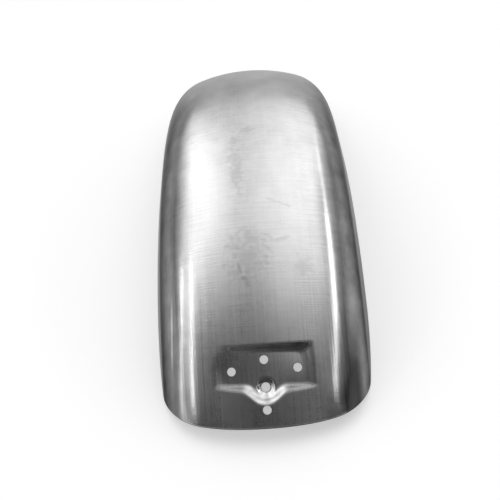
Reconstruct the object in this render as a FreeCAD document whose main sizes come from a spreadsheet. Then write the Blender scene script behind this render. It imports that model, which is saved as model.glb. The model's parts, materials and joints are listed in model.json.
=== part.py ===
import FreeCAD, Part
import enum
import math
import os
import Sketcher

# Motorcycle fender: one steel sheet, pressed to an arch over the wheel.
# A flat lamp pad is pressed into the crown near one end, with a swell around its wire hole.
# The sheet is what a die leaves over a punch, so its thickness is the same all over.
# Frame: X across the wheel, Y along it with the lamp pad at -Y, Z up.
# The fender stands arch up on the corners of its skirts, with the origin on the floor
# under its middle. The die and the punch are drawn with the axle at the origin and the
# lamp pad on top, and the sheet is then turned to its place.

doc = FreeCAD.newDocument("fender")

# Driving sizes, in millimetres and degrees
SIZES = {
    "fender_width": 178.0,
    "crown_radius": 345.0,
    "cross_radius": 170.0,
    "shoulder_radius": 47.5,
    "skirt_draft": 12.0,
    "skirt_depth": 71.5,
    "tip_angle": 45.5,
    "end_sweep_radius": 120.0,
    "sheet_thickness": 1.5,
    "trim_allowance": 12.0,
    "pad_angle": 38.0,
    "pad_depth": 5.5,
    "pad_width": 68.0,
    "pad_height": 26.0,
    "pad_corner_radius": 5.0,
    "pad_wall_angle": 55.0,
    "pad_side_angle": 30.0,
    "pad_floor_bend": 1.5,
    "pad_rim_bend": 2.5,
    "swell_radius": 8.5,
    "swell_blend": 10.0,
    "dimple_radius": 7.0,
    "dimple_depth": 2.2,
    "dimple_angle": 40.0,
    "wire_hole_diameter": 7.0,
    "wire_hole_drop": 14.5,
    "screw_hole_diameter": 6.5,
    "screw_spacing": 50.0,
    "screw_line_drop": 1.5,
    "top_hole_rise": 6.0,
    "bottom_hole_drop": 31.3,
    "tool_clearance": 2.0,
}

sizes = doc.addObject("Spreadsheet::Sheet", "sizes")
for row, (alias, number) in enumerate(SIZES.items(), start=1):
    sizes.set(f"A{row}", alias)
    sizes.set(f"B{row}", str(number))
    sizes.setAlias(f"B{row}", alias)
doc.recompute()


def value(expression):
    """The number that an expression on the sizes gives."""
    result = sizes.evalExpression(expression)
    return float(getattr(result, "Value", result))


# Expressions that several features share
THICKNESS = "sizes.sheet_thickness"
SKIRT_CIRCLE = "(sizes.crown_radius - sizes.skirt_depth)"
SWEEP_REACH = f"({SKIRT_CIRCLE} + sizes.end_sweep_radius)"
SWEEP_COSINE = (
    f"(({SWEEP_REACH}^2 + sizes.crown_radius^2 - sizes.end_sweep_radius^2)"
    f" / (2 * {SWEEP_REACH} * sizes.crown_radius))"
)
SWEEP_ANGLE = f"(sizes.tip_angle - acos({SWEEP_COSINE}) / 1 deg)"
AXLE_DROP = f"({SWEEP_REACH} * cos({SWEEP_ANGLE}) - sizes.end_sweep_radius)"
PAD_FLOOR = "(sizes.crown_radius - sizes.pad_depth)"
ABOVE_CROWN = "(sizes.crown_radius + sizes.tool_clearance)"

# The points of a line or an arc, in the order in which the sketcher numbers them from one
START, END, CENTRE = enum.IntEnum("EdgePoint", "start end centre")
# The sketcher numbers a sketch's own axes from minus one downwards, and the first holds the origin
ACROSS_AXIS, UP_AXIS = range(-1, -3, -1)
ORIGIN = (ACROSS_AXIS, START)


def new_sketch(body, name, role, level="0"):
    """A sketch on one of the body's own origin planes, lifted to a level above it."""
    sketch = body.newObject("Sketcher::SketchObject", name)
    planes = {item.Role: item for item in body.Origin.OriginFeatures}
    sketch.AttachmentSupport = [(planes[role], "")]
    sketch.MapMode = "FlatFace"
    sketch.setExpression("AttachmentOffset.Base.z", level)
    return sketch


def drive(sketch, kind, *where, by):
    """Adds a dimension that follows an expression on the sizes."""
    start = value(by)
    if kind == "Angle":
        start = math.radians(start)
    index = sketch.addConstraint(Sketcher.Constraint(kind, *where, start))
    sketch.setExpression(f"Constraints[{index}]", by)


def tie(sketch, kind, *where):
    """Adds a constraint that has no size."""
    sketch.addConstraint(Sketcher.Constraint(kind, *where))


def add_line(sketch, first, last):
    ends = [FreeCAD.Vector(*spot, 0) for spot in (first, last)]
    return sketch.addGeometry(Part.LineSegment(*ends), False)


def add_arc(sketch, centre, radius, first, last):
    circle = Part.Circle(FreeCAD.Vector(*centre, 0), FreeCAD.Vector(0, 0, 1), radius)
    angles = [math.radians(angle) for angle in (first, last)]
    return sketch.addGeometry(Part.ArcOfCircle(circle, *angles), False)


def cross_section(body, skin, allowance):
    """The arch across the wheel: a shallow crown, round shoulders and flared skirts."""
    sketch = new_sketch(body, body.Name + "_section", "XZ_Plane")
    cross = f"(sizes.cross_radius - {skin})"
    shoulder = f"(sizes.shoulder_radius - {skin})"
    centre_level = "(sizes.crown_radius - sizes.cross_radius)"
    foot_level = f"({SKIRT_CIRCLE} - {allowance})"
    foot = (
        f"(sizes.fender_width / 2 - {skin} / cos(sizes.skirt_draft)"
        f" + {allowance} * tan(sizes.skirt_draft))"
    )
    # The turn from crown to shoulder is only a first guess, which the tangents settle
    turn = 17.0
    draft = value("sizes.skirt_draft")
    shoulder_gap = value(cross) - value(shoulder)
    right = shoulder_gap * math.sin(math.radians(turn))
    level = value(centre_level) + shoulder_gap * math.cos(math.radians(turn))
    waist = right + value(shoulder) * math.cos(math.radians(draft))
    waist_level = level + value(shoulder) * math.sin(math.radians(draft))
    feet = value(foot), value(foot_level)

    crown = add_arc(sketch, (0, value(centre_level)), value(cross), 90 - turn, 90 + turn)
    shoulder_right = add_arc(sketch, (right, level), value(shoulder), draft, 90 - turn)
    shoulder_left = add_arc(sketch, (-right, level), value(shoulder), 90 + turn, 180 - draft)
    skirt_right = add_line(sketch, (waist, waist_level), feet)
    skirt_left = add_line(sketch, (-waist, waist_level), (-feet[0], feet[1]))
    base = add_line(sketch, feet, (-feet[0], feet[1]))

    tie(sketch, "PointOnObject", crown, CENTRE, UP_AXIS)
    tie(sketch, "Tangent", shoulder_right, END, crown, START)
    tie(sketch, "Tangent", crown, END, shoulder_left, START)
    tie(sketch, "Tangent", skirt_right, START, shoulder_right, START)
    tie(sketch, "Tangent", skirt_left, START, shoulder_left, END)
    tie(sketch, "Coincident", base, START, skirt_right, END)
    tie(sketch, "Coincident", base, END, skirt_left, END)
    tie(sketch, "Symmetric", skirt_right, END, skirt_left, END, UP_AXIS)
    tie(sketch, "Equal", shoulder_right, shoulder_left)
    drive(sketch, "Radius", crown, by=cross)
    drive(sketch, "Radius", shoulder_right, by=shoulder)
    drive(sketch, "DistanceY", *ORIGIN, crown, CENTRE, by=centre_level)
    drive(sketch, "DistanceX", *ORIGIN, skirt_right, END, by=foot)
    drive(sketch, "DistanceY", *ORIGIN, skirt_right, END, by=foot_level)
    drive(sketch, "Angle", skirt_right, by="sizes.skirt_draft - 90")
    drive(sketch, "Angle", skirt_left, by="-90 - sizes.skirt_draft")
    return sketch


def pad_outline(body, name, level, grow, side_grow):
    """The lamp pad seen square on: a rounded oblong that swells round the wire hole.

    The outline stands outside the pad's floor by grow, and by side_grow at its two sides.
    """
    sketch = new_sketch(body, name, "XY_Plane", level)
    half_width = f"(sizes.pad_width / 2 + {side_grow})"
    half_height = f"(sizes.pad_height / 2 + {grow})"
    swell = f"(sizes.swell_radius + {grow})"
    blend = f"(sizes.swell_blend - {grow})"
    wide, high = value(half_width), value(half_height)
    bend = value("sizes.pad_corner_radius")
    wire = -value("sizes.wire_hole_drop")
    blend_level = -high - value(blend)
    reach = value(swell) + value(blend)
    blend_across = math.sqrt(reach**2 - (blend_level - wire) ** 2)
    lean = math.degrees(math.atan2(blend_level - wire, blend_across))

    top = add_line(sketch, (bend - wide, high), (wide - bend, high))
    right = add_line(sketch, (wide, high - bend), (wide, bend - high))
    left = add_line(sketch, (-wide, bend - high), (-wide, high - bend))
    low_right = add_line(sketch, (wide - bend, -high), (blend_across, -high))
    low_left = add_line(sketch, (-blend_across, -high), (bend - wide, -high))
    corners = [
        add_arc(sketch, (wide - bend, high - bend), bend, 0, 90),
        add_arc(sketch, (bend - wide, high - bend), bend, 90, 180),
        add_arc(sketch, (bend - wide, bend - high), bend, 180, 270),
        add_arc(sketch, (wide - bend, bend - high), bend, 270, 360),
    ]
    blend_right = add_arc(sketch, (blend_across, blend_level), value(blend), 90, 180 + lean)
    blend_left = add_arc(sketch, (-blend_across, blend_level), value(blend), -lean, 90)
    bowl = add_arc(sketch, (0, wire), value(swell), 180 - lean, 360 + lean)

    for flat in (top, low_right, low_left):
        tie(sketch, "Horizontal", flat)
    for upright in (right, left):
        tie(sketch, "Vertical", upright)
    for corner in corners[1:]:
        tie(sketch, "Equal", corners[0], corner)
    tie(sketch, "Equal", blend_right, blend_left)
    tie(sketch, "Tangent", top, END, corners[0], END)
    tie(sketch, "Tangent", right, START, corners[0], START)
    tie(sketch, "Tangent", right, END, corners[3], END)
    tie(sketch, "Tangent", low_right, START, corners[3], START)
    tie(sketch, "Tangent", low_right, END, blend_right, START)
    tie(sketch, "Tangent", blend_right, END, bowl, END)
    tie(sketch, "Tangent", bowl, START, blend_left, START)
    tie(sketch, "Tangent", blend_left, END, low_left, START)
    tie(sketch, "Tangent", low_left, END, corners[2], END)
    tie(sketch, "Tangent", left, START, corners[2], START)
    tie(sketch, "Tangent", left, END, corners[1], END)
    tie(sketch, "Tangent", top, START, corners[1], START)
    tie(sketch, "PointOnObject", bowl, CENTRE, UP_AXIS)
    tie(sketch, "Horizontal", low_right, START, low_left, END)
    drive(sketch, "Radius", corners[0], by="sizes.pad_corner_radius")
    drive(sketch, "Radius", blend_right, by=blend)
    drive(sketch, "Radius", bowl, by=swell)
    drive(sketch, "DistanceY", bowl, CENTRE, *ORIGIN, by="sizes.wire_hole_drop")
    drive(sketch, "DistanceY", *ORIGIN, top, END, by=half_height)
    drive(sketch, "DistanceY", low_right, START, *ORIGIN, by=half_height)
    drive(sketch, "DistanceX", *ORIGIN, right, START, by=half_width)
    drive(sketch, "DistanceX", left, START, *ORIGIN, by=half_width)
    return sketch


def edge_names(shape, wanted):
    """The names of the edges that are among the wanted ones."""
    return [
        f"Edge{index}"
        for index, edge in enumerate(shape.Edges, start=1)
        if any(edge.isSame(other) for other in wanted)
    ]


def pad_floor_face(shape, level):
    """The flat floor of the lamp pad, found by its level and by facing up."""
    return next(
        face
        for face in shape.Faces
        if isinstance(face.Surface, Part.Plane)
        and abs(face.CenterOfMass.z - level) < 0.01
        and abs(face.normalAt(0, 0).z) > 0.99
    )


def rim_edges(shape, level):
    """The edges where the pad's walls meet the crown."""
    floor = pad_floor_face(shape, level)
    walls = [
        face
        for face in shape.Faces
        if not face.isSame(floor)
        and any(edge.isSame(other) for edge in face.Edges for other in floor.Edges)
    ]
    wall_edges = [edge for face in walls for edge in face.Edges]
    once = [
        edge
        for edge in wall_edges
        if sum(edge.isSame(other) for other in wall_edges) == 1
    ]
    return [
        edge
        for edge in once
        if not any(edge.isSame(other) for other in floor.Edges)
    ]


def bend_edges(body, name, base, wanted, radius):
    """Rounds edges of the last feature, as the sheet bends there."""
    bend = body.newObject("PartDesign::Fillet", name)
    bend.Base = (base, edge_names(base.Shape, wanted))
    bend.setExpression("Radius", radius)
    doc.recompute()
    return bend


def pressing_form(name, skin, allowance, floor_bend, rim_bend):
    """A die or punch: the arch with the lamp pad and the dimple sunk into it.

    Skin is how far the form lies under the outside of the sheet.
    """
    body = doc.addObject("PartDesign::Body", name)
    section = cross_section(body, skin, allowance)
    arch = body.newObject("PartDesign::Revolution", name + "_arch")
    arch.Profile = section
    arch.ReferenceAxis = (section, ["H_Axis"])
    arch.Midplane = True
    spare = "sizes.trim_allowance / sizes.crown_radius * 180 / pi"
    arch.setExpression("Angle", f"2 * (sizes.tip_angle + sizes.pad_angle + {spare})")

    # The pad's walls lean outwards from its floor, and under the skin they keep their distance
    floor_level = f"({PAD_FLOOR} - {skin})"
    rise = f"({ABOVE_CROWN} - {floor_level})"
    foot = f"({skin} * tan(sizes.pad_wall_angle / 2))"
    side_foot = f"({skin} * tan(sizes.pad_side_angle / 2))"
    floor = pad_outline(body, name + "_pad_floor", floor_level, foot, side_foot)
    mouth = pad_outline(
        body,
        name + "_pad_mouth",
        ABOVE_CROWN,
        f"({foot} + {rise} / tan(sizes.pad_wall_angle))",
        f"({side_foot} + {rise} / tan(sizes.pad_side_angle))",
    )
    recess = body.newObject("PartDesign::SubtractiveLoft", name + "_pad")
    recess.Profile = floor
    recess.Sections = [mouth]
    recess.Ruled = True
    doc.recompute()
    rim = rim_edges(recess.Shape, value(floor_level))
    bent_rim = bend_edges(body, name + "_rim_bend", recess, rim, rim_bend)
    foot_edges = pad_floor_face(bent_rim.Shape, value(floor_level)).Edges
    bend_edges(body, name + "_floor_bend", bent_rim, foot_edges, floor_bend)

    dimple = body.newObject("PartDesign::SubtractiveCone", name + "_dimple")
    dimple.AttachmentSupport = [(floor, "")]
    dimple.MapMode = "ObjectXY"
    dimple.setExpression("AttachmentOffset.Base.y", "-sizes.wire_hole_drop")
    dimple.setExpression("AttachmentOffset.Base.z", "-sizes.dimple_depth")
    widest = f"(sizes.dimple_radius + {skin} * tan(sizes.dimple_angle / 2))"
    dimple.setExpression("Radius2", widest)
    dimple.setExpression("Radius1", f"{widest} - sizes.dimple_depth / tan(sizes.dimple_angle)")
    dimple.setExpression("Height", "sizes.dimple_depth")
    doc.recompute()
    return body


def pad_holes(body):
    """Screw, wire and spare holes, all punched square to the lamp pad."""
    sketch = new_sketch(body, "pad_holes", "XY_Plane", ABOVE_CROWN)
    half = "sizes.screw_spacing / 2"
    screw_hole = "sizes.screw_hole_diameter"
    holes = [
        (half, "-sizes.screw_line_drop", screw_hole),
        (f"-{half}", "-sizes.screw_line_drop", screw_hole),
        ("0", "sizes.top_hole_rise", screw_hole),
        ("0", "-sizes.bottom_hole_drop", screw_hole),
        ("0", "-sizes.wire_hole_drop", "sizes.wire_hole_diameter"),
    ]
    for across, along, diameter in holes:
        centre = FreeCAD.Vector(value(across), value(along), 0)
        rim = Part.Circle(centre, FreeCAD.Vector(0, 0, 1), value(diameter) / 2)
        hole = sketch.addGeometry(rim, False)
        drive(sketch, "Diameter", hole, by=diameter)
        drive(sketch, "DistanceY", *ORIGIN, hole, CENTRE, by=along)
        if across == "0":
            tie(sketch, "PointOnObject", hole, CENTRE, UP_AXIS)
        else:
            drive(sketch, "DistanceX", *ORIGIN, hole, CENTRE, by=across)
    cut = body.newObject("PartDesign::Pocket", "punched_holes")
    cut.Profile = sketch
    cut.Type = "ThroughAll"
    doc.recompute()


def side_blank():
    """The fender's outline seen from the side, as a block across its whole width."""
    body = doc.addObject("PartDesign::Body", "side_blank")
    sketch = new_sketch(body, "side_outline", "YZ_Plane")
    sweep = value("sizes.end_sweep_radius")
    angle = value(SWEEP_ANGLE)
    reach = value(SWEEP_REACH)
    centre = reach * math.sin(math.radians(angle)), reach * math.cos(math.radians(angle))
    tip_along = "sizes.crown_radius * sin(sizes.tip_angle)"
    tip_level = "sizes.crown_radius * cos(sizes.tip_angle)"
    tip = value(tip_along), value(tip_level)
    lean = math.degrees(math.atan2(tip[1] - centre[1], tip[0] - centre[0]))
    top = value(ABOVE_CROWN)

    skirt = add_arc(sketch, (0, 0), value(SKIRT_CIRCLE), 90 - angle, 90 + angle)
    end_right = add_arc(sketch, centre, sweep, -90 - angle, lean)
    end_left = add_arc(sketch, (-centre[0], centre[1]), sweep, 180 - lean, 270 + angle)
    side_right = add_line(sketch, tip, (tip[0], top))
    lid = add_line(sketch, (tip[0], top), (-tip[0], top))
    side_left = add_line(sketch, (-tip[0], top), (-tip[0], tip[1]))

    tie(sketch, "Coincident", skirt, CENTRE, *ORIGIN)
    tie(sketch, "Tangent", skirt, START, end_right, START)
    tie(sketch, "Tangent", skirt, END, end_left, END)
    tie(sketch, "Equal", end_right, end_left)
    tie(sketch, "Symmetric", end_right, END, end_left, START, UP_AXIS)
    tie(sketch, "Coincident", end_right, END, side_right, START)
    tie(sketch, "Coincident", side_right, END, lid, START)
    tie(sketch, "Coincident", lid, END, side_left, START)
    tie(sketch, "Coincident", side_left, END, end_left, START)
    tie(sketch, "Vertical", side_right)
    tie(sketch, "Vertical", side_left)
    tie(sketch, "Horizontal", lid)
    drive(sketch, "Radius", skirt, by=SKIRT_CIRCLE)
    drive(sketch, "Radius", end_right, by="sizes.end_sweep_radius")
    drive(sketch, "DistanceX", *ORIGIN, end_right, END, by=tip_along)
    drive(sketch, "DistanceY", *ORIGIN, end_right, END, by=tip_level)
    drive(sketch, "DistanceY", *ORIGIN, lid, START, by=ABOVE_CROWN)
    block = body.newObject("PartDesign::Pad", "side_block")
    block.Profile = sketch
    block.SideType = "Symmetric"
    block.setExpression("Length", "sizes.fender_width + 2 * sizes.trim_allowance")
    return body


die = pressing_form(
    "die_form", "0", "sizes.trim_allowance", "sizes.pad_floor_bend", "sizes.pad_rim_bend"
)
pad_holes(die)
punch = pressing_form(
    "punch_form",
    THICKNESS,
    "2 * sizes.trim_allowance",
    f"sizes.pad_floor_bend + {THICKNESS}",
    f"sizes.pad_rim_bend - {THICKNESS}",
)

# The pressed sheet, turned so that the lamp pad faces -Y and lowered until its skirts stand on the floor
pressed = doc.addObject("Part::Cut", "pressed_sheet")
pressed.Base = die
pressed.Tool = punch
pressed.Placement = FreeCAD.Placement(FreeCAD.Vector(), FreeCAD.Rotation(FreeCAD.Vector(1, 0, 0), 1))
pressed.setExpression("Placement.Rotation.Angle", "sizes.pad_angle")
pressed.setExpression("Placement.Base.z", f"-{AXLE_DROP}")

blank = side_blank()
blank.setExpression("Placement.Base.z", f"-{AXLE_DROP}")

fender = doc.addObject("Part::Common", "fender")
fender.Label = "fender"
fender.Base = pressed
fender.Tool = blank
doc.recompute()

for item in doc.Objects:
    if "Invalid" in item.State or "Error" in item.State:
        raise RuntimeError(f"{item.Name} did not rebuild: {item.State}")
for body in (die, punch):
    for feature in body.Group:
        cuts = feature.TypeId.startswith(("PartDesign::Subtractive", "PartDesign::Pocket"))
        if cuts and feature.Shape.Volume >= feature.BaseFeature.Shape.Volume:
            raise RuntimeError(f"{feature.Name} cuts nothing")
shape = fender.Shape
if shape.isNull() or not shape.isValid() or len(shape.Solids) != 1:
    raise RuntimeError("the fender is not one valid solid")

os.makedirs("parts", exist_ok=True)
shape.exportStep("parts/fender.step")
box = shape.optimalBoundingBox()
print(f"fender {box.XLength:.2f} x {box.YLength:.2f} x {box.ZLength:.2f} mm, floor at {box.ZMin:.3f}")
print(f"steel {shape.Volume / 1000:.1f} cm3, sheet area {shape.Area / 2:.0f} mm2")
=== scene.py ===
# %% [markdown]
# # A pressed steel motorcycle fender
#
# The object is one sheet of bare steel, pressed into an arch that covers the upper part of a wheel.
# Near one end the press also leaves a flat recess, and five holes are punched there for a lamp.
# The solid model already has the right size and place, so the first step is to load it as a frame.
# Everything that follows is modelled in metres in that same frame, and only the looks are added here.

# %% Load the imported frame
import json
import math

import bmesh
import bpy
from mathutils import Matrix, Quaternion, Vector


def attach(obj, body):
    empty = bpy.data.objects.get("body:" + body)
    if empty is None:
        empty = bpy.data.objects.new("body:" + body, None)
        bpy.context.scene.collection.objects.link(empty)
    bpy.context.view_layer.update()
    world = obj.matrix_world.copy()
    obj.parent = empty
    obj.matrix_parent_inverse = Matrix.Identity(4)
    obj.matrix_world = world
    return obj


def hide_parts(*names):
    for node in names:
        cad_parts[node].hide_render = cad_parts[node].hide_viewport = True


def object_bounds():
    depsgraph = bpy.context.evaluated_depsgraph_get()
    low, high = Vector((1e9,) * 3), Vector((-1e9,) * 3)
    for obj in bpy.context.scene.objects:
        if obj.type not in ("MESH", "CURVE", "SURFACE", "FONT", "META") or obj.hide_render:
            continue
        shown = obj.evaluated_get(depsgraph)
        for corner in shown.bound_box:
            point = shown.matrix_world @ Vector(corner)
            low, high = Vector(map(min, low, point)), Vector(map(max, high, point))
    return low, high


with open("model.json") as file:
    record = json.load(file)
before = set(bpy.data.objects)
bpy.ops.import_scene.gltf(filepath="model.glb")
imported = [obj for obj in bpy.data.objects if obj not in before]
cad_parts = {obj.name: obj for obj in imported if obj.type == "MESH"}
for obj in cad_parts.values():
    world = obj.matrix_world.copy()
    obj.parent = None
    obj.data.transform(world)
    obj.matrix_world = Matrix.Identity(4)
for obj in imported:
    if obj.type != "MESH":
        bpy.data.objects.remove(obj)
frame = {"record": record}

cad_low, cad_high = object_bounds()
print("solid model, metres:", [round(side, 4) for side in cad_high - cad_low])

# %% [markdown]
# ## The sizes of the arch
#
# The fender follows the wheel, so every size is measured from the wheel's axle, which lies below the floor.
# The crown is an arc round the axle, and seen end on it is a shallow arc too.
# Rounded shoulders lead from the crown to straight sides, the skirts, which lean outwards.
# Both ends are trimmed by one large arc that starts along the skirt's edge and ends at the crown.
# Writing these few numbers first lets every later step be worked out from them.

# %% Sizes of the arch
MM = 0.001
TINY = 0.01 * MM
CROWN_RADIUS = 345 * MM
CROSS_RADIUS = 170 * MM
SHOULDER_RADIUS = 47.5 * MM
SKIRT_DRAFT = math.radians(12)
SKIRT_DEPTH = 71.5 * MM
TIP_ANGLE = math.radians(45.5)
END_SWEEP_RADIUS = 120 * MM
SHEET_THICKNESS = 1.5 * MM
HALF_WIDTH = (cad_high.x - cad_low.x) / 2


def angle_opposite(side, first, second):
    """The angle of a triangle between two sides, from the length of the third."""
    return math.acos((first * first + second * second - side * side) / (2 * first * second))


SKIRT_CIRCLE = CROWN_RADIUS - SKIRT_DEPTH
SWEEP_REACH = SKIRT_CIRCLE + END_SWEEP_RADIUS
SWEEP_ANGLE = TIP_ANGLE - angle_opposite(END_SWEEP_RADIUS, SWEEP_REACH, CROWN_RADIUS)
AXLE_HEIGHT = END_SWEEP_RADIUS - SWEEP_REACH * math.cos(SWEEP_ANGLE)
print("axle height", round(AXLE_HEIGHT, 4), "sweep angle", round(math.degrees(SWEEP_ANGLE), 2))

# %% [markdown]
# ## Half of the cross-section
#
# The sheet's section is a chain of two arcs and a straight line, and it is the same on both sides.
# It could be drawn as a curve, but a single vertex that is spun and extruded gives exact arcs.
# The vertex starts on top of the crown, turns about the crown's centre, then about the shoulder's, and
# is then drawn out along the skirt. The steps along the skirt get shorter towards its edge, because
# the trimmed ends turn fastest there.

# %% Spin and extrude half of the section
CROWN_STEPS = 56
SHOULDER_STEPS = 22
SKIRT_STEPS = 10

SKIRT_OUT = Vector((math.cos(SKIRT_DRAFT), 0, math.sin(SKIRT_DRAFT)))
SKIRT_DOWN = Vector((math.sin(SKIRT_DRAFT), 0, -math.cos(SKIRT_DRAFT)))
skirt_edge = Vector((HALF_WIDTH, 0, SKIRT_CIRCLE))
crown_centre = Vector((0, 0, CROWN_RADIUS - CROSS_RADIUS))
room_beside = (skirt_edge - crown_centre).dot(SKIRT_OUT) - SHOULDER_RADIUS
crown_turn = math.asin(room_beside / (CROSS_RADIUS - SHOULDER_RADIUS)) - SKIRT_DRAFT
shoulder_turn = math.pi / 2 - SKIRT_DRAFT - crown_turn
towards_shoulder = Vector((math.sin(crown_turn), 0, math.cos(crown_turn)))
shoulder_centre = crown_centre + towards_shoulder * (CROSS_RADIUS - SHOULDER_RADIUS)


def swing(shape, last, centre, axis, angle, steps):
    """Spins the last row of a shape about an axis and gives the new last row."""
    spun = bmesh.ops.spin(shape, geom=last, cent=centre, axis=axis, angle=angle, steps=steps)
    return spun["geom_last"]


shell = bmesh.new()
end = [shell.verts.new((0, 0, CROWN_RADIUS))]
end = swing(shell, end, crown_centre, (0, 1, 0), crown_turn, CROWN_STEPS)
end = swing(shell, end, shoulder_centre, (0, 1, 0), shoulder_turn, SHOULDER_STEPS)
skirt_length = (skirt_edge - end[0].co).dot(SKIRT_DOWN)
for step in range(SKIRT_STEPS):
    left_before = (1 - step / SKIRT_STEPS) ** 2
    left_after = (1 - (step + 1) / SKIRT_STEPS) ** 2
    end = bmesh.ops.extrude_vert_indiv(shell, verts=end)["verts"]
    bmesh.ops.translate(shell, verts=end, vec=SKIRT_DOWN * skirt_length * (left_before - left_after))
print("crown turn", round(math.degrees(crown_turn), 2), "skirt", round(skirt_length / MM, 1), "mm")

# %% [markdown]
# ## The arch
#
# The half section is mirrored, turned to the plain end and spun round the axle to the lamp end.
# The lamp's recess has small bends, so the spin takes finer steps there than along the plain arch.
# A single fine spin would look the same, but would spend most of its faces where nothing happens.

# %% Mirror the section and spin it round the axle
AXLE_AXIS = (1, 0, 0)
FINE_START = math.radians(33.2)
FINE_END = math.radians(44.6)
ARCH_SPANS = [
    (TIP_ANGLE + FINE_START, 112),
    (FINE_END - FINE_START, 78),
    (TIP_ANGLE - FINE_END, 3),
]

bmesh.ops.mirror(
    shell,
    geom=shell.verts[:] + shell.edges[:],
    matrix=Matrix.Identity(4),
    merge_dist=TINY,
    axis="X",
)
turn_to_plain_end = Matrix.Rotation(-TIP_ANGLE, 3, "X")
bmesh.ops.rotate(shell, verts=shell.verts, cent=(0, 0, 0), matrix=turn_to_plain_end)
row = shell.verts[:] + shell.edges[:]
for span, steps in ARCH_SPANS:
    row = swing(shell, row, (0, 0, 0), AXLE_AXIS, span, steps)
print("arch:", len(shell.verts), "vertices,", len(shell.faces), "faces")

# %% [markdown]
# ## The trimmed ends
#
# After the spin both ends are cut straight along the axle, but on the real sheet they are swept.
# The trim could be a Boolean cut, which would leave slivers along the edge.
# Here each vertex is moved along its own circle instead, so that the last row lands on the trim arc,
# and the rows between follow in proportion. At the shoulders a little more is eased off the corners,
# which look rounder on the real sheet than one arc makes them.

# %% Sweep the ends
CORNER_EASE = 3.2 * MM
EASED_CIRCLE = 320 * MM
EASED_SPAN = 25 * MM


def end_angle(radius):
    """How far round the axle the sheet reaches on a circle of this radius."""
    inside = max(radius, SKIRT_CIRCLE)
    off_middle = min(abs(inside - EASED_CIRCLE) / EASED_SPAN, 1)
    eased = CORNER_EASE * (1 - off_middle * off_middle) ** 2 / inside
    return SWEEP_ANGLE + angle_opposite(END_SWEEP_RADIUS, SWEEP_REACH, inside) - eased


for vertex in shell.verts:
    radius = math.hypot(vertex.co.y, vertex.co.z)
    angle = math.atan2(-vertex.co.y, vertex.co.z) * end_angle(radius) / TIP_ANGLE
    vertex.co.y = -radius * math.sin(angle)
    vertex.co.z = radius * math.cos(angle)
print("ends reach", [round(math.degrees(end_angle(r)), 1) for r in (SKIRT_CIRCLE, CROWN_RADIUS)], "degrees")

# %% [markdown]
# ## The lamp recess
#
# A punch presses a flat recess into the crown, with a swell at its lower edge for the wire's hole.
# It could be cut from separate pieces, but a press only moves the sheet along the punch's direction.
# So the vertices are moved the same way: each one goes down to the punch's surface where that is lower.
# A soft minimum and maximum round the folds as a bent sheet is rounded. The punch is not quite even on
# the real part: it goes deeper at one upper corner and fades out at the other.

# %% Read the recess from the frame
mounts = {mount["name"]: mount for mount in frame["record"]["mounts"]}
pad_normal = Vector(mounts["lamp_pad"]["axis"])
pad_angle = math.atan2(-pad_normal.y, pad_normal.z)
AXLE = Vector((0, 0, AXLE_HEIGHT))
turn_pad_up = Matrix.Rotation(-pad_angle, 3, "X")


def on_pad(mount_name):
    """A mount's place, measured from the axle with the recess turned to the top."""
    return turn_pad_up @ (Vector(mounts[mount_name]["pos_m"]) - AXLE)


pad_floor = on_pad("lamp_pad").z
wire_hole = on_pad("wire_hole")
screw_line = on_pad("lamp_screws")
print("recess floor", round(pad_floor / MM, 2), "mm from the axle")
print("wire hole", round(wire_hole.y / MM, 2), "mm from the middle of the recess")

# %% Press the recess
PAD_HALF_WIDTH = 34 * MM
PAD_HALF_HEIGHT = 13 * MM
SIDE_SLOPE = math.tan(math.radians(20))
LOWER_SLOPE = math.tan(math.radians(45))
SWELL_SLOPE = math.tan(math.radians(49))
WALL_SKEW = 0.042
UPPER_SKEW = 0.066
UPPER_RUN = 4.1 * MM
UPPER_RUN_GAIN = 0.065
SWELL_RADIUS = 7.5 * MM
SWELL_BLEND = 11 * MM
DIMPLE_RADIUS = 7 * MM
DIMPLE_DEPTH = 2.2 * MM
DIMPLE_SLOPE = math.tan(math.radians(40))
CORNER_BLEND = 1.8 * MM
FLOOR_BEND = 1.4 * MM
DIMPLE_BEND = 0.8 * MM
RIM_BEND = 1.6 * MM
UPPER_TWIST = 0.075
LEAST_RISE = 0.5 * MM
REACH_ACROSS = 52 * MM
REACH_ALONG = 36 * MM


def soft_max(first, second, bend):
    """The larger of two heights, with the fold between them rounded."""
    overlap = max(bend - abs(first - second), 0)
    return max(first, second) + overlap * overlap / (4 * bend)


def soft_min(first, second, bend):
    """The smaller of two heights, with the fold between them rounded."""
    return -soft_max(-first, -second, bend)


def punch_height(across, up):
    """The punch's surface above the recess floor."""
    skewed = up + WALL_SKEW * across
    upwards = min(max((up + PAD_HALF_HEIGHT) / (2 * PAD_HALF_HEIGHT), 0), 1)
    twist = -UPPER_TWIST * across * upwards * upwards
    crown_rise = CROWN_RADIUS - pad_floor - across * across / (2 * CROSS_RADIUS)
    upper_rise = max(crown_rise - twist, LEAST_RISE)
    upper_run = UPPER_RUN + UPPER_RUN_GAIN * across
    sides = (abs(across) - PAD_HALF_WIDTH) * SIDE_SLOPE
    upper = twist + (up + UPPER_SKEW * across - PAD_HALF_HEIGHT) / upper_run * upper_rise
    lower = (-skewed - PAD_HALF_HEIGHT) * LOWER_SLOPE
    walls = soft_max(soft_max(upper, lower, FLOOR_BEND), sides, CORNER_BLEND)
    from_wire = math.hypot(across, up - wire_hole.y)
    swell = (from_wire - SWELL_RADIUS) * SWELL_SLOPE
    walls = soft_min(walls, swell, SWELL_BLEND)
    recess = soft_max(walls, twist, FLOOR_BEND)
    cone = (from_wire - DIMPLE_RADIUS) * DIMPLE_SLOPE
    dimple = soft_max(cone, -DIMPLE_DEPTH, DIMPLE_BEND)
    return soft_min(recess, dimple, DIMPLE_BEND)


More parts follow.
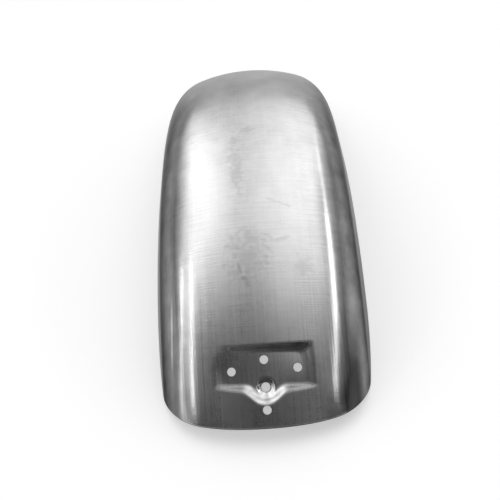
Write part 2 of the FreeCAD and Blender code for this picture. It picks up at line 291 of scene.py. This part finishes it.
bmesh.ops.rotate(shell, verts=shell.verts, cent=(0, 0, 0), matrix=turn_pad_up)
pressed = 0
for vertex in shell.verts:
    near = abs(vertex.co.x) < REACH_ACROSS and abs(vertex.co.y) < REACH_ALONG
    if near and vertex.co.z > 0:
        before = vertex.co.z
        punch = punch_height(vertex.co.x, vertex.co.y)
        vertex.co.z = pad_floor + soft_min(before - pad_floor, punch, RIM_BEND)
        pressed += before - vertex.co.z > TINY
bmesh.ops.rotate(shell, verts=shell.verts, cent=(0, 0, 0), matrix=turn_pad_up.inverted())
bmesh.ops.translate(shell, verts=shell.verts, vec=AXLE)
print("pressed", pressed, "vertices")

# %% [markdown]
# ## The sheet's thickness
#
# So far the shape is a skin with no thickness, and a pressed sheet is the same thickness everywhere.
# The faces are turned outwards first, and the skin is then made solid towards the inside, so that
# the outside keeps its measured size. The cut edges of the sheet are rounded a little, as deburred
# steel is, and catch a thin line of light.

# %% Thicken the sheet and round its edges
EDGE_ROUND = 0.3 * MM
RIM_FOLD = math.radians(60)

bmesh.ops.recalc_face_normals(shell, faces=shell.faces)
highest = max(shell.faces, key=lambda face: face.calc_center_median().z)
if highest.normal.z < 0:
    bmesh.ops.reverse_faces(shell, faces=shell.faces)
bmesh.ops.solidify(shell, geom=shell.faces[:], thickness=SHEET_THICKNESS)
cut_edges = [edge for edge in shell.edges if edge.calc_face_angle(0) > RIM_FOLD]
cut_edge_set = set(cut_edges)
for face in {face for edge in cut_edges for face in edge.link_faces}:
    face.material_index = sum(edge in cut_edge_set for edge in face.edges) > 1
bmesh.ops.bevel(
    shell,
    geom=cut_edges,
    offset=EDGE_ROUND,
    affect="EDGES",
    segments=2,
    profile=0.5,
    material=-1,
)
for face in shell.faces:
    face.smooth = True
for vertex in shell.verts:
    vertex.co.z = max(vertex.co.z, 0)
fender_mesh = bpy.data.meshes.new("fender_sheet")
shell.to_mesh(fender_mesh)
shell.free()
fender = bpy.data.objects.new("fender_sheet", fender_mesh)
bpy.context.scene.collection.objects.link(fender)
top = max(vertex.co.z for vertex in fender_mesh.vertices)
print("sheet:", len(fender_mesh.polygons), "faces, top at", round(top, 5))

# %% [markdown]
# ## The holes
#
# Four screw holes and the wire's hole are punched square to the recess.
# Cylinders are placed along the recess's direction and cut away with one exact Boolean, which is then
# applied, because round holes of this size can't follow the grid of the sheet's faces. The many-sided
# faces that the cut leaves along the holes are divided into triangles, and slivers are dissolved.

# %% Punch the holes
TOP_HOLE_RISE = 6 * MM
BOTTOM_HOLE_DROP = 31.3 * MM
PUNCH_LENGTH = 24 * MM
HOLE_SIDES = 48
SHARP_FOLD = math.radians(40)

screw_size = mounts["lamp_screws"]["dims"]
screw_radius = screw_size["hole_r_mm"] * MM
screw_offset = screw_size["pcd_mm"] * MM / 2
wire_radius = mounts["wire_hole"]["dims"]["r_mm"] * MM
hole_places = [
    (-screw_offset, screw_line.y, screw_radius),
    (screw_offset, screw_line.y, screw_radius),
    (0, TOP_HOLE_RISE, screw_radius),
    (0, -BOTTOM_HOLE_DROP, screw_radius),
    (0, wire_hole.y, wire_radius),
]
from_pad_up = turn_pad_up.inverted().to_4x4()
punches = bmesh.new()
for across, up, radius in hole_places:
    place = Matrix.Translation(AXLE) @ from_pad_up @ Matrix.Translation((across, up, pad_floor))
    bmesh.ops.create_cone(
        punches,
        cap_ends=True,
        segments=HOLE_SIDES,
        radius1=radius,
        radius2=radius,
        depth=PUNCH_LENGTH,
        matrix=place,
    )
punch_mesh = bpy.data.meshes.new("hole_punches")
punches.to_mesh(punch_mesh)
punches.free()
punch_object = bpy.data.objects.new("hole_punches", punch_mesh)
bpy.context.scene.collection.objects.link(punch_object)
cut = fender.modifiers.new("punch_holes", "BOOLEAN")
cut.operation = "DIFFERENCE"
cut.solver = "EXACT"
cut.object = punch_object
evaluated = fender.evaluated_get(bpy.context.evaluated_depsgraph_get())
punched_mesh = bpy.data.meshes.new_from_object(evaluated)
punched = bmesh.new()
punched.from_mesh(punched_mesh)
many_sided = [face for face in punched.faces if len(face.verts) > 4]
bmesh.ops.triangulate(punched, faces=many_sided, ngon_method="BEAUTY")
bmesh.ops.dissolve_degenerate(punched, dist=TINY, edges=punched.edges)
punched.to_mesh(punched_mesh)
punched.free()
fender.modifiers.clear()
fender.data = punched_mesh
bpy.data.meshes.remove(fender_mesh)
bpy.data.objects.remove(punch_object)
fender.data.set_sharp_from_angle(angle=SHARP_FOLD)
print("punched sheet:", len(fender.data.polygons), "faces")

# %% [markdown]
# The finished sheet now takes the place of the plain solid, and rides on the model's only body.

# %% Put the sheet in the solid's place
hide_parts("fender")
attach(fender, "root")
print("fender_sheet stands for the fender")

# %% [markdown]
# ## Shader maths as plain Python
#
# A procedural material is arithmetic on coordinates, and as loose nodes it is hard to read.
# This small class wraps a node's output, so that sums and products of outputs add the Math nodes
# themselves, and one method makes every other node. Soft steps, parts of a vector, dot products, ramps
# and greys come up often, so they have short names of their own.

# %% A socket that can be calculated with
class Wire:
    """One output of a shader node, for use in plain arithmetic."""

    def __init__(self, tree, socket=None):
        self.tree = tree
        self.socket = socket

    def node(self, kind, settings=None, sockets=None, output=0):
        """Makes a node, sets it up, fills its sockets and gives one of its outputs."""
        made = self.tree.nodes.new(kind)
        for name, value in (settings or {}).items():
            if name == "stops":
                made.color_ramp.elements[0].position = value[0][0]
                made.color_ramp.elements[1].position = value[-1][0]
                for place, _ in value[1:-1]:
                    made.color_ramp.elements.new(place)
                for element, (_, level) in zip(made.color_ramp.elements, value):
                    element.color = (level, level, level, 1)
            else:
                setattr(made, name, value)
        for name, value in (sockets or {}).items():
            if isinstance(value, Wire):
                self.tree.links.new(value.socket, made.inputs[name])
            else:
                made.inputs[name].default_value = value
        return Wire(self.tree, made.outputs[output] if made.outputs else None)

    def math(self, operation, first, second=0.0):
        """One sum, product or other operation of the Math node."""
        return self.node("ShaderNodeMath", {"operation": operation}, {0: first, 1: second})

    def __add__(self, other):
        return self.math("ADD", self, other)

    def __radd__(self, other):
        return self.math("ADD", other, self)

    def __sub__(self, other):
        return self.math("SUBTRACT", self, other)

    def __rsub__(self, other):
        return self.math("SUBTRACT", other, self)

    def __mul__(self, other):
        return self.math("MULTIPLY", self, other)

    def __rmul__(self, other):
        return self.math("MULTIPLY", other, self)

    def __truediv__(self, other):
        return self.math("DIVIDE", self, other)

    def fade(self, low, high):
        """0 below low, 1 above high, and a soft step between."""
        sockets = {"Value": self, "From Min": low, "From Max": high}
        return self.node("ShaderNodeMapRange", {"interpolation_type": "SMOOTHSTEP"}, sockets)

    def part(self, axis):
        """One of the three numbers of a vector."""
        return self.node("ShaderNodeSeparateXYZ", sockets={0: self}, output=axis)

    def dot(self, vector):
        """How far a vector reaches along another."""
        return self.node("ShaderNodeVectorMath", {"operation": "DOT_PRODUCT"}, {0: self, 1: vector}, 1)

    def ramp(self, stops):
        """A level read from a ramp, for values from -1 to 1."""
        return self.node("ShaderNodeValToRGB", {"stops": stops}, {0: self * 0.5 + 0.5})

    def grey(self):
        """A grey of this level."""
        sockets = {"Red": self, "Green": self, "Blue": self}
        return self.node("ShaderNodeCombineColor", sockets=sockets)

    def show(self, kind="ShaderNodeOutputMaterial"):
        """Links a finished shader to the output of its material or sky."""
        self.node(kind, sockets={"Surface": self})


def blank_tree(owner):
    """Clears the nodes of a new material or sky and gives a wire to start from."""
    owner.use_nodes = True
    owner.node_tree.nodes.clear()
    return Wire(owner.node_tree)


print("shader maths is ready")

# %% [markdown]
# ## Bare steel
#
# The sheet is raw steel as it leaves the press: grey, half polished by an abrasive belt that ran across
# it, and marked by handling. A polished chrome or a flat grey would both look wrong.
# The brush lines run across the arch, so the pattern is laid out in the sheet's own directions:
# the distance round the arch, the distance across, and the drop from the crown down to the skirt.
# Fine lines change the roughness and the height, broad clouds change the colour, and near the lamp end
# the drawn metal shows streaks along the arch instead.

# %% Lay out the steel's coordinates
steel = bpy.data.materials.new("brushed_steel_sheet")
maker = blank_tree(steel)
steel_place = maker.node("ShaderNodeTexCoord", output=3)
across = steel_place.part(0)
along = steel_place.part(1)
height = steel_place.part(2) - AXLE_HEIGHT
around = maker.math("ARCTAN2", along * -1, height) * CROWN_RADIUS
from_axle = maker.math("SQRT", along * along + height * height)
drop = CROWN_RADIUS - from_axle
print("coordinates: around, across and drop")

# %% Brush lines, streaks and clouds
def grain(around_scale, across_scale, detail=2.0, roughness=0.5):
    """Noise stretched in the sheet's own directions, with scales in marks to the metre."""
    sockets = {0: across * across_scale, 1: around * around_scale, 2: drop * across_scale}
    stretched = maker.node("ShaderNodeCombineXYZ", sockets=sockets)
    sockets = {"Vector": stretched, "Scale": 1.0, "Detail": detail, "Roughness": roughness}
    return maker.node("ShaderNodeTexNoise", sockets=sockets)


brush_lines = grain(1100, 38)
broad_lines = grain(420, 20)
drawn_streaks = grain(9, 620)
clouds = grain(16, 22, detail=4.0, roughness=0.6)
mottle = grain(70, 85, detail=3.0, roughness=0.6)
speckle = grain(240, 240, detail=3.0)
lamp_end = around.fade(120 * MM, 215 * MM)
skirt = drop.fade(6 * MM, 25 * MM)
brushed = (1 - lamp_end) * (1 - skirt)
lines = (brush_lines - 0.5) * (0.35 + 0.65 * brushed) + (broad_lines - 0.5) * brushed * 0.6
streaks = (drawn_streaks - 0.5) * (0.25 + 0.75 * lamp_end)
print("grain in six sizes")

# %% [markdown]
# The folds that face down the slope of the recess are darker: this is painted shade, found by how far
# the surface leans down the slope of the recess. A lighter painted shade lies on the wall that leans the
# other way, on both sides of the swell.

# %% Painted shade in the folds
up_slope = turn_pad_up.inverted() @ Vector((0, 1, 0))
facing_out = maker.node("ShaderNodeNewGeometry", output=1)
lean = facing_out.dot(up_slope)
lamp_area = around.fade(190 * MM, 196 * MM)
beside_swell = maker.math("ABSOLUTE", across).fade(11 * MM, 19 * MM)
# painted shade: a darker colour on the folds that lean down the slope of the recess
painted_fold_shade = (lean * -1).fade(0.14, 0.34) * lamp_area
# painted shade, lighter, on the walls that lean up the slope beside the swell
painted_wall_shade = lean.fade(0.13, 0.26) * lamp_area * beside_swell
print("grime gathers where the sheet leans down", [round(part, 2) for part in up_slope])

# %% [markdown]
# Bare steel is also marked by every hand and tool that moves it. The crown has a finger smudge, a hooked
# scratch, a scuffed crescent, a long faint scratch and dull patches. Each is a soft oval in the sheet's
# own directions, with its rim broken up by the fine grain. One shoulder has a painted highlight: a thin
# bright line where the skirt's painted shade is left out.

# %% Handling marks and a painted highlight line
def handling_mark(across_place, around_place, half_length, half_width, turn):
    """A soft oval mark, with sizes in millimetres and its long side turned from the across direction."""
    cosine = math.cos(math.radians(turn))
    sine = math.sin(math.radians(turn))
    beside = across - across_place * MM
    beyond = around - around_place * MM
    lengthwise = (beside * cosine + beyond * sine) / (half_length * MM)
    crosswise = (beyond * cosine - beside * sine) / (half_width * MM)
    ragged = (speckle - 0.5) * 3.5 + (mottle - 0.5) * 2.5
    spread = lengthwise * lengthwise + crosswise * crosswise + ragged
    return 1 - spread.fade(0, 1.2)


# Each row: across, around, half length, half width, turn, strength
MARKS = [
    (-4, 7, 9, 5, 10, 0.4),
    (-13.5, 151.5, 7, 1.1, 74, 0.6),
    (-10, 161, 7, 1.9, 64, 0.6),
    (12.5, 127, 6, 2.4, 38, 0.3),
    (20.5, 128, 9, 2.6, -24, 0.3),
    (22.5, 95, 12, 1.4, 23, 0.25),
    (37, 150, 9, 10, 0, 0.25),
    (-13.5, 50, 40, 6, 87, 0.45),
    (-8, 140, 18, 24, 0, 0.4),
]
HIGHLIGHT_LINE_DROP = 13.1 * MM
HIGHLIGHT_LINE_DRIFT = 0.035

marks = 0
for *oval, strength in MARKS:
    marks = marks + handling_mark(*oval) * strength
# painted highlight: a thin bright line along the left shoulder, where the skirt's painted shade is left out
off_highlight_line = maker.math("ABSOLUTE", drop - HIGHLIGHT_LINE_DROP - around * HIGHLIGHT_LINE_DRIFT).fade(0.4 * MM, 1.2 * MM)
highlight_line_ends = around.fade(160 * MM, 185 * MM) * (1 - around.fade(205 * MM, 240 * MM))
painted_highlight_line = (1 - off_highlight_line) * highlight_line_ends * (across * -1).fade(0, 10 * MM)
print(len(MARKS), "handling marks and one bright rub")

# %% [markdown]
# The parts of the sheet also differ. The skirts are darker, a painted shade that stands in for the dim
# surroundings they would mirror. The corners of the lamp end get the darkest painted shade, with a band of
# it under each shoulder, and a painted reflection makes the edge on the right paler. The plain end is dull,
# so there the steel is rougher and a little less metallic, which keeps it grey where it would mirror the
# floor. Each is a soft mask on the sheet's own directions, because none of them has a sharp edge.

# %% Colour, roughness and height of the steel
STEEL_TONE = 0.57
STEEL_ROUGHNESS = 0.29
GRAIN_HEIGHT = 0.4 * MM
GRAIN_STRENGTH = 0.25
EDGE_TINT = (0.3, 0.3, 0.3, 1)

tone = STEEL_TONE + (clouds - 0.5) * 0.20 + lines * 0.14 + streaks * 0.18 + (speckle - 0.5) * 0.05
tone = tone + (mottle - 0.5) * 0.10
dull_end = (around * -1 + (clouds - 0.5) * 50 * MM).fade(30 * MM, 135 * MM)
# painted shade: the skirts darker, most low down and at the lamp end
painted_skirt_shade = skirt * 0.55 + drop.fade(15 * MM, 55 * MM) * (0.2 + lamp_end * 0.1)
right_side = across.fade(-10 * MM, 10 * MM)
lower_drop = drop + around.fade(232 * MM, 258 * MM) * 2.5 * MM
# painted shade in a band under each shoulder at the lamp end, deeper on the right
right_shade_band = lower_drop.fade(11.3 * MM, 15 * MM) * (1 - drop.fade(19 * MM, 28 * MM)) * 0.84
left_shade_band = drop.fade(14 * MM, 17.5 * MM) * (1 - drop.fade(18.5 * MM, 23 * MM) * 0.6) * 0.5
corner_shade_band = right_side * right_shade_band + (1 - right_side) * left_shade_band
lamp_corner = around.fade(170 * MM, 240 * MM)
painted_corner_shade = lamp_corner * corner_shade_band
# painted reflection: the right skirt's lower edge paler at the lamp end
painted_edge_reflection = lamp_corner * right_side * drop.fade(23 * MM, 34 * MM)
# painted shade on the skirts, the corners and the recess walls; the painted highlight line is left out of
# the skirt shade
tone = tone * (1 - painted_skirt_shade * (1 - painted_highlight_line)) * (1 - painted_corner_shade) * (1 - painted_wall_shade * 0.5)
# painted shade in the folds of the recess, deeper towards the right
tone = tone * (1 - painted_fold_shade * (0.84 + across * 1.8 + (mottle - 0.5) * 0.25))
# handling marks darken the tone, and the painted reflection pales the right edge
tone = tone * (1 - marks * 0.3) * (1 + painted_edge_reflection * 0.5)
tone = tone * (1 + skirt * ((mottle - 0.5) * 0.7 + (clouds - 0.5) * 0.6))
shoulder = drop.fade(2.5 * MM, 8 * MM)
steel_rough = STEEL_ROUGHNESS - shoulder * 0.09 + (clouds - 0.5) * 0.12 + lines * 0.08 + streaks * 0.06
steel_rough = steel_rough + (speckle - 0.5) * 0.05 + marks * 0.10 + dull_end * 0.15
relief = lines * 0.7 + streaks * 0.5 + (speckle - 0.5) * 0.12
steel_bump = maker.node(
    "ShaderNodeBump",
    sockets={"Strength": GRAIN_STRENGTH, "Distance": GRAIN_HEIGHT, "Height": relief},
)
steel_surface = maker.node(
    "ShaderNodeBsdfPrincipled",
    sockets={
        "Base Color": tone.grey(),
        "Metallic": 1 - dull_end * 0.22,
        "Roughness": steel_rough + painted_fold_shade * 0.3,
        "Specular Tint": EDGE_TINT,
        "Normal": steel_bump,
    },
)
steel_surface.show()
print("steel:", len(steel.node_tree.nodes), "nodes")

# %% [markdown]
# ## The cut edge
#
# Where the sheet was sheared, the edge is not brushed: it is duller than the face, with short torn lines
# across the thickness. It is much darker too, partly as sheared steel is and partly as painted shade, which
# keeps the rim a dark line where it would mirror the white floor. It gets a finish of its own on the faces
# of the rim.

# %% Steel of the cut edge
# a dark grey: partly the sheared steel's own tone, partly painted shade
EDGE_TONE = 0.16
EDGE_ROUGHNESS = 0.5
TORN_LINES = 420.0

cut_steel = bpy.data.materials.new("sheared_edge_steel")
edge_maker = blank_tree(cut_steel)
edge_place = edge_maker.node("ShaderNodeTexCoord", output=3)
torn = edge_maker.node(
    "ShaderNodeTexNoise",
    sockets={"Vector": edge_place, "Scale": TORN_LINES, "Detail": 3.0},
)
edge_tone = EDGE_TONE + (torn - 0.5) * 0.12
edge_colour = edge_maker.node(
    "ShaderNodeCombineColor",
    sockets={"Red": edge_tone, "Green": edge_tone, "Blue": edge_tone * 1.01},
)
edge_surface = edge_maker.node(
    "ShaderNodeBsdfPrincipled",
    sockets={
        "Base Color": edge_colour,
        "Metallic": 1.0,
        "Roughness": EDGE_ROUGHNESS + (torn - 0.5) * 0.3,
        "Specular Tint": EDGE_TINT,
    },
)
edge_surface.show()
fender.data.materials.clear()
fender.data.materials.append(steel)
fender.data.materials.append(cut_steel)
print("rim faces:", sum(face.material_index == 1 for face in fender.data.polygons))

# %% [markdown]
# ## Floor and studio
#
# The fender lies on a plain white cove: a round floor whose rim curves up into a low wall, so that the
# horizon is soft. It is a short profile spun once round.

# %% Spin the white cove
FLOOR_RADIUS = 9.0
COVE_RADIUS = 1.0
COVE_TURN = math.radians(80)
WALL_HEIGHT = 1.0
CURVE_STEPS = 12
ROUND_STEPS = 96
CENTRE_RING = 0.001
CENTRE_MERGE = 0.01

cove = bmesh.new()
rim = [cove.verts.new((CENTRE_RING, 0, 0))]
rim = bmesh.ops.extrude_vert_indiv(cove, verts=rim)["verts"]
bmesh.ops.translate(cove, verts=rim, vec=(FLOOR_RADIUS, 0, 0))
rim = swing(cove, rim, (FLOOR_RADIUS, 0, COVE_RADIUS), (0, -1, 0), COVE_TURN, CURVE_STEPS)
wall_foot = [part for part in rim if isinstance(part, bmesh.types.BMVert)]
wall_top = bmesh.ops.extrude_vert_indiv(cove, verts=wall_foot)["verts"]
bmesh.ops.translate(cove, verts=wall_top, vec=(0, 0, WALL_HEIGHT))
profile = cove.verts[:] + cove.edges[:]
bmesh.ops.spin(
    cove,
    geom=profile,
    cent=(0, 0, 0),
    axis=(0, 0, 1),
    angle=2 * math.pi,
    steps=ROUND_STEPS,
    use_merge=True,
)
bmesh.ops.remove_doubles(cove, verts=cove.verts, dist=CENTRE_MERGE)
bmesh.ops.recalc_face_normals(cove, faces=cove.faces)
for face in cove.faces:
    face.smooth = True
cove_mesh = bpy.data.meshes.new("white_cove")
cove.to_mesh(cove_mesh)
cove.free()
white_cove = bpy.data.objects.new("white_cove", cove_mesh)
bpy.context.scene.collection.objects.link(white_cove)
print("cove:", len(cove_mesh.polygons), "faces")

# %% [markdown]
# The paint glows faintly where the camera or the steel sees it, so that the white stays white without
# more light on the fender, and the fender's shadow stays on the floor. The wall glows less towards its
# top, so it gets greyer there.

# %% Paint the cove white
PAINT_WHITE = (0.64, 0.64, 0.64, 1)
PAINT_GLOW = 0.44
WALL_DIMMING = 0.5

white_paint = bpy.data.materials.new("white_floor")
paint = blank_tree(white_paint)
seen_directly = paint.node("ShaderNodeLightPath", output=0)
seen_in_metal = paint.node("ShaderNodeLightPath", output=3)
seen_through_glass = paint.node("ShaderNodeLightPath", output=6)
wall_rise = paint.node("ShaderNodeTexCoord", output=3).part(2)
seen = paint.math("MAXIMUM", paint.math("MAXIMUM", seen_directly, seen_in_metal), seen_through_glass)
glow = (1 - wall_rise.fade(0.2, 1.8) * WALL_DIMMING) * seen * PAINT_GLOW
paint_surface = paint.node(
    "ShaderNodeBsdfPrincipled",
    sockets={
        "Base Color": PAINT_WHITE,
        "Roughness": 0.9,
        "Specular IOR Level": 0.1,
        "Emission Color": glow.grey(),
        "Emission Strength": 1.0,
    },
)
paint_surface.show()
white_cove.data.materials.append(white_paint)
print("white paint:", len(white_paint.node_tree.nodes), "nodes")

# %% [markdown]
# Bare metal shows what stands around it, so the light is a sky to be mirrored more than a set of lamps.
# It is brightest behind and above the fender and dim on the camera's side. From left to right it has a
# dim band in the middle, which the crown shows as its greyer middle. Each is a ramp on the direction.

# %% Studio sky
BRIGHT_HEIGHT = math.radians(40)
BRIGHT_FROM = Vector((0.27, math.cos(BRIGHT_HEIGHT), math.sin(BRIGHT_HEIGHT))).normalized()
SKY_LEVEL = 1.74
LOW_SKY = 0.8
DEPTH_STOPS = [(0.30, 0.04), (0.50, 0.075), (0.60, 0.19), (0.70, 0.37), (0.82, 0.80), (0.92, 1.0)]
SIDE_STOPS = [
    (0.0, 0.45), (0.13, 0.45), (0.26, 0.92), (0.33, 1.0), (0.43, 0.55),
    (0.54, 0.75), (0.62, 0.97), (0.75, 0.92), (0.84, 0.45), (0.95, 0.28),
]

studio = bpy.data.worlds.new("studio_sky")
sky = blank_tree(studio)
direction = sky.node("ShaderNodeTexCoord", output=0)
sideways = direction.part(0)
above_horizon = LOW_SKY + (1 - LOW_SKY) * direction.part(2).fade(0, 0.5)
from_behind = direction.dot(BRIGHT_FROM).ramp(DEPTH_STOPS)
open_sky = from_behind * sideways.ramp(SIDE_STOPS) * above_horizon * SKY_LEVEL
print("sky brightest from", [round(part, 2) for part in BRIGHT_FROM])

# %% [markdown]
# On the left a slanted soft panel, wider at its upper end, makes the pale wedge beside the shoulder. It
# is painted on the same sky with two more ramps, one across the panel and one along it.

# %% Soft panel on the left
PANEL_SIDE = Vector((0.414, -0.532, 0.739))
PANEL_LENGTH = Vector((0, 0.72, 0.69))
PANEL_LEVEL = 1.16
PANEL_WIDENING = 0.65
WIDER_FROM = 0.25
PANEL_SIDE_STOPS = [
    (0.29, 0.0), (0.40, 0.35), (0.475, 0.85), (0.60, 1.0),
    (0.65, 0.75), (0.69, 0.3), (0.77, 0.0),
]
PANEL_END_STOPS = [
    (0.38, 0.0), (0.45, 0.4), (0.5, 0.5), (0.58, 0.75), (0.7, 1.0),
    (0.83, 0.95), (0.89, 0.65), (0.95, 0.65), (0.99, 0.3),
]

along_panel = direction.dot(PANEL_LENGTH)
wedge = 1 + sky.math("MAXIMUM", along_panel - WIDER_FROM, 0) * PANEL_WIDENING
beside_panel = direction.dot(PANEL_SIDE) / wedge
only_left = (sideways * -1).fade(0.2, 0.5)
panel_shape = beside_panel.ramp(PANEL_SIDE_STOPS) * along_panel.ramp(PANEL_END_STOPS)
panel = panel_shape * only_left * PANEL_LEVEL
background = sky.node("ShaderNodeBackground", sockets={"Color": open_sky + panel})
background.show("ShaderNodeOutputWorld")
bpy.context.scene.world = studio
print("sky:", len(studio.node_tree.nodes), "nodes")

# %% [markdown]
# The fine bright lines on the shoulders are thin tubes in a real studio: two at the edges of the left
# panel and one on the right. A straight tube shows bent in the curved shoulder, so each line is a chain
# of short straight lamps, placed where the shoulder mirrors them into the line that the photograph shows.

# %% Tube lamps
LAMP_TARGET = Vector((0, -0.1, 0.05))

# Each row: name, start, finish, width and radiance
TUBES = [
    ("left_outer_upper", (-0.9, 0.06, 0.58), (-0.9, -0.20, 0.39), 0.05, 4.2),
    ("left_outer_lower", (-0.9, -0.20, 0.39), (-0.9, -0.385, 0.05), 0.05, 3.0),
    ("left_inner_upper", (-0.9, 0.0, 1.06), (-0.9, -0.42, 0.80), 0.05, 4.2),
    ("left_inner_lower", (-0.9, -0.42, 0.80), (-0.9, -0.72, 0.38), 0.035, 5.2),
    ("right_far", (0.95, 1.73, 0.54), (0.95, 1.20, 0.78), 0.09, 0.5),
    ("right_upper", (0.95, 1.20, 0.78), (0.95, 0.36, 0.78), 0.09, 1.7),
    ("right_middle", (0.95, 0.36, 0.78), (0.95, -0.35, 0.67), 0.11, 4.2),
    ("right_lower", (0.95, -0.35, 0.67), (0.95, -1.00, 0.71), 0.11, 2.4),
]


def tube_lamp(name, start, finish, width, radiance):
    """A long narrow lamp between two places, facing the fender."""
    reach = finish - start
    length_axis = reach.normalized()
    away = (start + finish) / 2 - LAMP_TARGET
    facing_axis = (away - length_axis * away.dot(length_axis)).normalized()
    turned = Matrix((length_axis, facing_axis.cross(length_axis), facing_axis)).transposed()
    lamp = bpy.data.lights.new(name, "AREA")
    lamp.shape = "RECTANGLE"
    lamp.size = reach.length
    lamp.size_y = width
    lamp.energy = math.pi * reach.length * width * radiance
    holder = bpy.data.objects.new(name, lamp)
    holder.location = (start + finish) / 2
    holder.rotation_mode = "QUATERNION"
    holder.rotation_quaternion = turned.to_quaternion()
    holder.visible_camera = False
    bpy.context.scene.collection.objects.link(holder)
    print(name, "power", round(lamp.energy, 2))


for name, start, finish, width, radiance in TUBES:
    tube_lamp(name, Vector(start), Vector(finish), width, radiance)

# %% [markdown]
# ## The camera
#
# The camera stands where the photograph was taken: in front of the lamp end, looking down at 43 degrees,
# and tilted a little to one side. Its place, tilt and lens come from matching the model's outline with
# the photograph's. Only a small sideways shift is needed for the framing.

# %% Set up the camera
VIEW_ELEVATION = math.radians(43.01)
VIEW_AZIMUTH = math.radians(1.25)
VIEW_ROLL = math.radians(-5.09)
VIEW_DISTANCE = 789.9 * MM
AIM_ABOVE_AXLE = 193.5 * MM
FOCAL_PIXELS = 780.0
IMAGE_PIXELS = 500.0
CENTRE_PIXEL = 260.0
SENSOR_WIDTH = 36

camera_data = bpy.data.cameras.new("photo_camera")
camera_data.sensor_width = SENSOR_WIDTH
camera_data.lens = FOCAL_PIXELS / IMAGE_PIXELS * SENSOR_WIDTH
camera_data.shift_x = (IMAGE_PIXELS / 2 - CENTRE_PIXEL) / IMAGE_PIXELS
camera = bpy.data.objects.new("photo_camera", camera_data)
level = math.cos(VIEW_ELEVATION)
back = Vector((math.sin(VIEW_AZIMUTH) * level, -math.cos(VIEW_AZIMUTH) * level, math.sin(VIEW_ELEVATION)))
camera.location = AXLE + Vector((0, 0, AIM_ABOVE_AXLE)) + back * VIEW_DISTANCE
camera.rotation_mode = "QUATERNION"
camera.rotation_quaternion = (-back).to_track_quat("-Z", "Y") @ Quaternion((0, 0, 1), VIEW_ROLL)
bpy.context.scene.collection.objects.link(camera)
bpy.context.scene.camera = camera
bpy.context.scene.view_settings.view_transform = "Standard"
print("camera at", [round(part, 3) for part in camera.location], "lens", round(camera_data.lens, 1))
